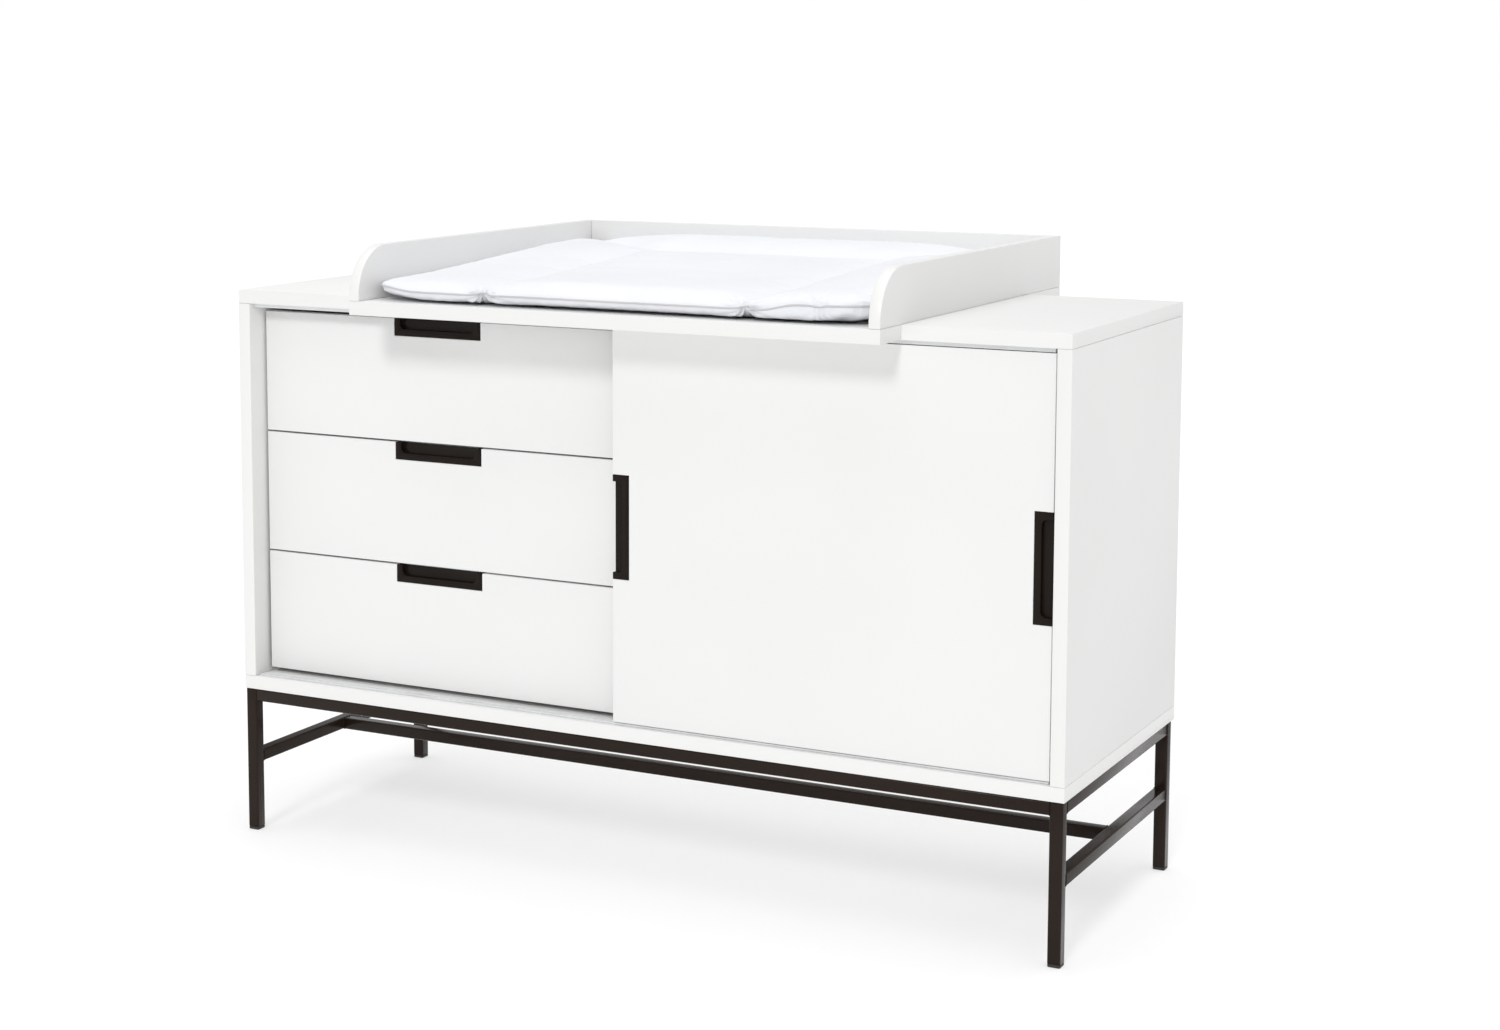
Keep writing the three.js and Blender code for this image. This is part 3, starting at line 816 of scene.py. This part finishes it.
class Pad:
    """Geometry of the pad's cover on a grid: column i along X, row j along Y, seam ring on the border."""

    def __init__(self):
        low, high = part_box("changing_pad")
        self.left, self.right = low.x, high.x
        self.front, self.back = low.y, high.y
        self.middle = (self.left + self.right) / 2
        self.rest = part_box("top_panel")[1].z + PAD_REST
        self.columns = graded(self.left, self.right, [x for x, _ in GATHERS])
        self.rows = graded(self.front, self.back, [])

    def plan(self, x, y):
        """Rounds the corners of the rectangle and draws the front edge back at the pinches."""
        for corner, end, sign in ((PAD_CORNER[0], self.front, -1), (PAD_CORNER[1], self.back, 1)):
            for side, way in ((self.left, -1), (self.right, 1)):
                a = (x - (side - way * corner)) * way / corner
                b = (y - (end - sign * corner)) * sign / corner
                if a > 0 and b > 0:
                    x = side - way * corner + way * corner * a * math.sqrt(1 - b * b / 2)
                    y = end - sign * corner + sign * corner * b * math.sqrt(1 - a * a / 2)
        near = max(0.0, 1 - (y - self.front) / DRAW_DEPTH) ** 2
        drawn = sum(DRAW_BACK * weight * bell(x - place, DRAW_WIDTH) for place, weight in GATHERS)
        return x, y + near * drawn

    def belly(self, x, y):
        """Draws the underside's points out to the border, so the cover bulges below its seam."""
        for low, high, axis in ((self.left, self.right, 0), (self.front, self.back, 1)):
            value = (x, y)[axis]
            for distance, way in ((value - low, -1), (high - value, 1)):
                t = distance / BELLY_REACH
                if 0 < t < 1:
                    value += way * BELLY * 4 * t * (1 - t)
            x, y = (value, y) if axis == 0 else (x, value)
        return x, y

    def edge_distance(self, x, y):
        """Distance from the border, before the corners are rounded."""
        return min(x - self.left, self.right - x, y - self.front, self.back - y)

    def backwards(self, y, share=1.0):
        """0 at the front edge, 1 at that share of the depth."""
        return smooth((y - self.front) / (share * (self.back - self.front)))

    def seam_height(self, x, y):
        """Height of the seam above the board."""
        front = SEAM_FRONT
        for side, start, width, rise in SEAM_RISES:
            front += rise * smooth((side * x - start) / width)
        front += sum(PINCH_RISE * bell(x - place, PINCH_WIDTH) for place in PINCHES)
        front -= SMALL_DIP * bell(x - SMALL_GATHER, SMALL_WIDTH)
        return mix(front, SEAM_BACK, self.backwards(y, 0.9))

    def gap(self, x, y, edge):
        """Height of the underside above the board, where the cover curls up at its edge."""
        near_front = 1 - smooth((y - self.front) / FRONT_REACH)
        corner = CORNER_CURL * near_front * smooth((abs(x - self.middle) - CORNER_START) / CORNER_WIDTH)
        notch = NOTCH * near_front * sum(bell(x - place, NOTCH_WIDTH) for place in PINCHES)
        return (CURL + corner + notch) * (1 - smooth(edge / CURL_REACH))

    def seams(self, x, y):
        """Distance to the nearest sewn channel on the top."""
        inside = min(max(x, PINCHES[0]), PINCHES[1])
        nearest = math.hypot(x - inside, y - CROSS_SEAM)
        for start, corner in ((PINCHES[0], self.left + CHANNEL_END), (PINCHES[1], self.right - CHANNEL_END)):
            nearest = min(nearest, math.hypot(x - start, max(0.0, y - CROSS_SEAM)))
            dx, dy = corner - start, self.back - CHANNEL_END - CROSS_SEAM
            t = min(1.0, max(0.0, ((x - start) * dx + (y - CROSS_SEAM) * dy) / (dx * dx + dy * dy)))
            nearest = min(nearest, math.hypot(x - start - t * dx, y - CROSS_SEAM - t * dy))
        return nearest

    def filled(self, x, y):
        """Height of the filled top above the board, away from the edges."""
        back = self.backwards(y, 0.85)
        valley = mix(*VALLEY, back)
        slope_x = (self.right - CHANNEL_END - PINCHES[1]) / (self.back - CHANNEL_END - CROSS_SEAM)
        spread = max(0.0, y - CROSS_SEAM) * slope_x
        if PINCHES[0] - spread < x < PINCHES[1] + spread:
            full, reach = FRONT_PANEL if y < CROSS_SEAM else BACK_PANEL
        else:
            front = LEFT_ROLL if x < self.middle else RIGHT_ROLL
            full, reach = mix(front, BACK_ROLL, back), ROLL_REACH
        t = min(1.0, self.seams(x, y) / reach)
        return mix(valley, max(full, valley), t * (2 - t))

    def build(self):
        """One closed cover: top and underside meet in the seam ring."""
        last_i, last_j = len(self.columns) - 1, len(self.rows) - 1
        self.top, self.under, self.pins = {}, {}, {}
        self.points, self.faces = [], []
        for j, row in enumerate(self.rows):
            for i, column in enumerate(self.columns):
                x, y = self.plan(column, row)
                edge = self.edge_distance(column, row)
                seam = self.seam_height(x, y)
                index = self.top[i, j] = len(self.points)
                if i in (0, last_i) or j in (0, last_j):
                    self.under[i, j] = index
                    self.pins[index] = 1.0
                    self.points.append((x, y, self.rest + seam))
                    continue
                lift = crown(edge, mix(46 * MM, 60 * MM, self.backwards(y)))
                uneven = noise.noise(Vector((x * 13, y * 13, 3.1))) * 1.6 * MM * lift
                self.points.append((x, y, self.rest + mix(seam, self.filled(x, y), lift) + uneven))
                if self.seams(x, y) < 0.5 * PAD_COARSE and edge > 20 * MM:
                    self.pins[index] = 0.9
        for j, row in enumerate(self.rows[1:-1], 1):
            for i, column in enumerate(self.columns[1:-1], 1):
                x, y = self.plan(*self.belly(column, row))
                edge = self.edge_distance(column, row)
                height = mix(self.seam_height(x, y), self.gap(x, y, edge), crown(edge, BELLY_REACH))
                self.under[i, j] = len(self.points)
                self.points.append((x, y, self.rest + height))
        for j in range(last_j):
            for i in range(last_i):
                ring = [(i, j), (i + 1, j), (i + 1, j + 1), (i, j + 1)]
                self.faces.append([self.top[k] for k in ring])
                self.faces.append([self.under[k] for k in reversed(ring)])

    def ring(self):
        """The seam's points, anticlockwise from the front left."""
        i, j = len(self.columns) - 1, len(self.rows) - 1
        keys = [(k, 0) for k in range(i)] + [(i, k) for k in range(j)]
        keys += [(i - k, j) for k in range(i)] + [(0, j - k) for k in range(j)]
        return [self.top[key] for key in keys]

    def looseness(self, x, y):
        """Share of extra cloth: most at the gathers, some along the edges."""
        share = sum(w * bell(math.hypot(x - place, (y - self.front) * 0.7), 60 * MM) for place, w in GATHERS)
        return min(1.0, share + 0.5 * bell(max(0.0, self.edge_distance(x, y)), 45 * MM))


def simulate_pad(piece, pad):
    """Swells the cover with the Cloth solver while its seams hold, then caps the movement."""
    start = [v.co.copy() for v in piece.data.vertices]
    pins = piece.vertex_groups.new(name="pins")
    loose = piece.vertex_groups.new(name="loose")
    for index, weight in pad.pins.items():
        pins.add([index], weight, "REPLACE")
    for v in piece.data.vertices:
        loose.add([v.index], pad.looseness(v.co.x, v.co.y), "REPLACE")
    cloth = piece.modifiers.new("cloth", "CLOTH")
    settings = cloth.settings
    settings.quality = 4
    settings.mass = 0.3
    settings.tension_stiffness = settings.compression_stiffness = 12
    settings.shear_stiffness = 4
    settings.bending_stiffness = 0.4
    settings.use_pressure = True
    settings.uniform_pressure_force = 3.2
    settings.vertex_group_mass = "pins"
    settings.pin_stiffness = 1.0
    settings.vertex_group_shrink = "loose"
    settings.shrink_min = -0.008
    settings.shrink_max = -0.05
    settings.effector_weights.gravity = 0
    cloth.collision_settings.use_collision = False
    cloth.point_cache.frame_start, cloth.point_cache.frame_end = 1, SIM_FRAMES
    scene = bpy.context.scene
    for step in range(1, SIM_FRAMES + 1):
        scene.frame_set(step)
    shown = piece.evaluated_get(bpy.context.evaluated_depsgraph_get())
    moved = [v.co.copy() for v in shown.data.vertices]
    piece.modifiers.remove(cloth)
    scene.frame_set(1)
    for v, a, b in zip(piece.data.vertices, start, moved):
        step = b - a
        v.co = a + step * (PAD_CAP / (PAD_CAP + step.length))


def keep_inside(piece, pad):
    """The cover rests on the board, curls up at its edge, and stays off the tray's boards."""
    clear = 0.4 * MM
    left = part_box("tray_left_board")[1].x + clear
    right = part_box("tray_right_board")[0].x - clear
    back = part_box("tray_back_board")[0].y - clear
    for v in piece.data.vertices:
        v.co.x = min(max(v.co.x, left), right)
        v.co.y = min(v.co.y, back)
        edge = max(0.0, pad.edge_distance(v.co.x, v.co.y))
        v.co.z = max(v.co.z, pad.rest + pad.gap(v.co.x, v.co.y, edge))


def subdivide(piece):
    modifier = piece.modifiers.new("fine", "SUBSURF")
    modifier.levels = modifier.render_levels = 1
    shown = piece.evaluated_get(bpy.context.evaluated_depsgraph_get())
    mesh = bpy.data.meshes.new_from_object(shown)
    piece.modifiers.remove(modifier)
    piece.data = mesh


def gather(piece, pad):
    """Small folds: a fan round each gather, and fine puckers along the whole seam."""
    normals = [v.normal.copy() for v in piece.data.vertices]
    for v, normal in zip(piece.data.vertices, normals):
        x, y, z = v.co
        drawn = pad.plan(x, pad.front)[1]
        from_seam = z - pad.rest - pad.seam_height(x, y)
        away = math.hypot(y - drawn, from_seam)
        rise = 0.0
        for number, (place, weight) in enumerate(GATHERS):
            reach = math.hypot(x - place, away)
            if reach > FOLD_LIMIT:
                continue
            angle = math.atan2(math.copysign(away, from_seam), x - place)
            bend = 1.1 * noise.noise(Vector((math.cos(angle) * 1.5, math.sin(angle) * 1.5, 7.0 * number)))
            fan = 1.5 * abs(math.cos(FOLDS / 2 * angle + bend + 22 * reach)) - 0.9
            rise += weight * FOLD_DEPTH * fan * reach / (reach + FOLD_START) * bell(reach, FOLD_REACH)
        edge = max(0.0, pad.edge_distance(x, y)) + abs(from_seam)
        pucker = noise.noise(Vector((x * 90, y * 90, 5.0)))
        rise += PUCKER_DEPTH * pucker * edge / (edge + PUCKER_START) * bell(edge, PUCKER_REACH)
        v.co += normal * rise


def add_stitches(cover, pad, materials):
    """Short raised threads along the sewn channels."""
    tree = BVHTree.FromObject(cover, bpy.context.evaluated_depsgraph_get())
    lines = [((PINCHES[0], CROSS_SEAM), (PINCHES[1], CROSS_SEAM))]
    for start, corner in ((PINCHES[0], pad.left + CHANNEL_END), (PINCHES[1], pad.right - CHANNEL_END)):
        lines.append(((start, pad.front + 30 * MM), (start, CROSS_SEAM)))
        lines.append(((start, CROSS_SEAM), (corner, pad.back - CHANNEL_END)))
    shape = Shape()
    for start, stop in lines:
        a, b = Vector((*start, 0)), Vector((*stop, 0))
        count = round((b - a).length / STITCH_PITCH)
        for k in range(count):
            ends = []
            for share in (k + 0.15, k + 0.85):
                spot = a.lerp(b, share / count)
                hit, normal, _, _ = tree.ray_cast(spot + Vector((0, 0, 2)), Vector((0, 0, -1)))
                ends.append(hit + normal * 0.1 * MM)
            along = (ends[1] - ends[0]).normalized()
            length = (ends[1] - ends[0]).length
            profile = [(0, 0), (STITCH_END, STITCH_TAPER), (STITCH_MIDDLE, length * 0.3)]
            profile += [(STITCH_MIDDLE, length * 0.7), (STITCH_END, length - STITCH_TAPER), (0, length)]
            shape.lathe(profile, facing(along, ends[0]), 6)
    shape.piece("pad_stitching", materials, "pad", "pad_fabric", "thread")


def add_pad(materials):
    pad = Pad()
    pad.build()
    piece = add_piece("pad_cover", pad.points, pad.faces, materials["pad_fabric"], "pad")
    simulate_pad(piece, pad)
    keep_inside(piece, pad)
    subdivide(piece)
    gather(piece, pad)
    keep_inside(piece, pad)
    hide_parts("changing_pad")

    centre = Vector((pad.middle, (pad.front + pad.back) / 2, 0))
    path = []
    for index in pad.ring():
        place = piece.data.vertices[index].co.copy()
        out = (place - centre).to_2d().to_3d().normalized()
        path.append(place + PIPING_OUT * out)
    points, faces = tube_along(path, PIPING_RADIUS)
    # The piping's grey material is painted shadow along the seam.
    piping = add_piece("pad_piping", points, faces, materials["pad_piping"], "pad")
    keep_inside(piping, pad)
    add_stitches(piece, pad, materials)


# ---------------------------------------------------------------- floor


def add_floor():
    s = Shader("floor_paper")
    tone = s.noise(1.2, 2)
    s.colour(s.colours(tone, (FLOOR_TONE,) * 3, (FLOOR_TONE * 1.02,) * 3))
    s.set(Roughness=0.9, Emission_Color=(1, 1, 1, 1), Emission_Strength=FLOOR_GLOW, Specular_IOR_Level=0.0)
    half = FLOOR_SIZE / 2
    mesh = bpy.data.meshes.new("floor")
    corners = [(-half, -half, 0), (half, -half, 0), (half, half, 0), (-half, half, 0)]
    mesh.from_pydata(corners, [], [(0, 1, 2, 3)])
    mesh.materials.append(s.material)
    floor = bpy.data.objects.new("floor", mesh)
    floor.location.z = -0.2 * MM
    bpy.context.scene.collection.objects.link(floor)


def main():
    add_camera()
    add_lights()
    add_floor()
    materials = make_materials()
    finish_cad(materials)
    add_slides(materials)
    add_ball_cages(materials)
    add_shelf_pins(materials)
    add_cam_caps(materials)
    add_back_screws(materials)
    add_tray_brackets(materials)
    add_base_screws(materials)
    add_weld_beads(materials)
    add_door_glides(materials)
    add_tip_bracket(materials)
    add_pad(materials)


main()
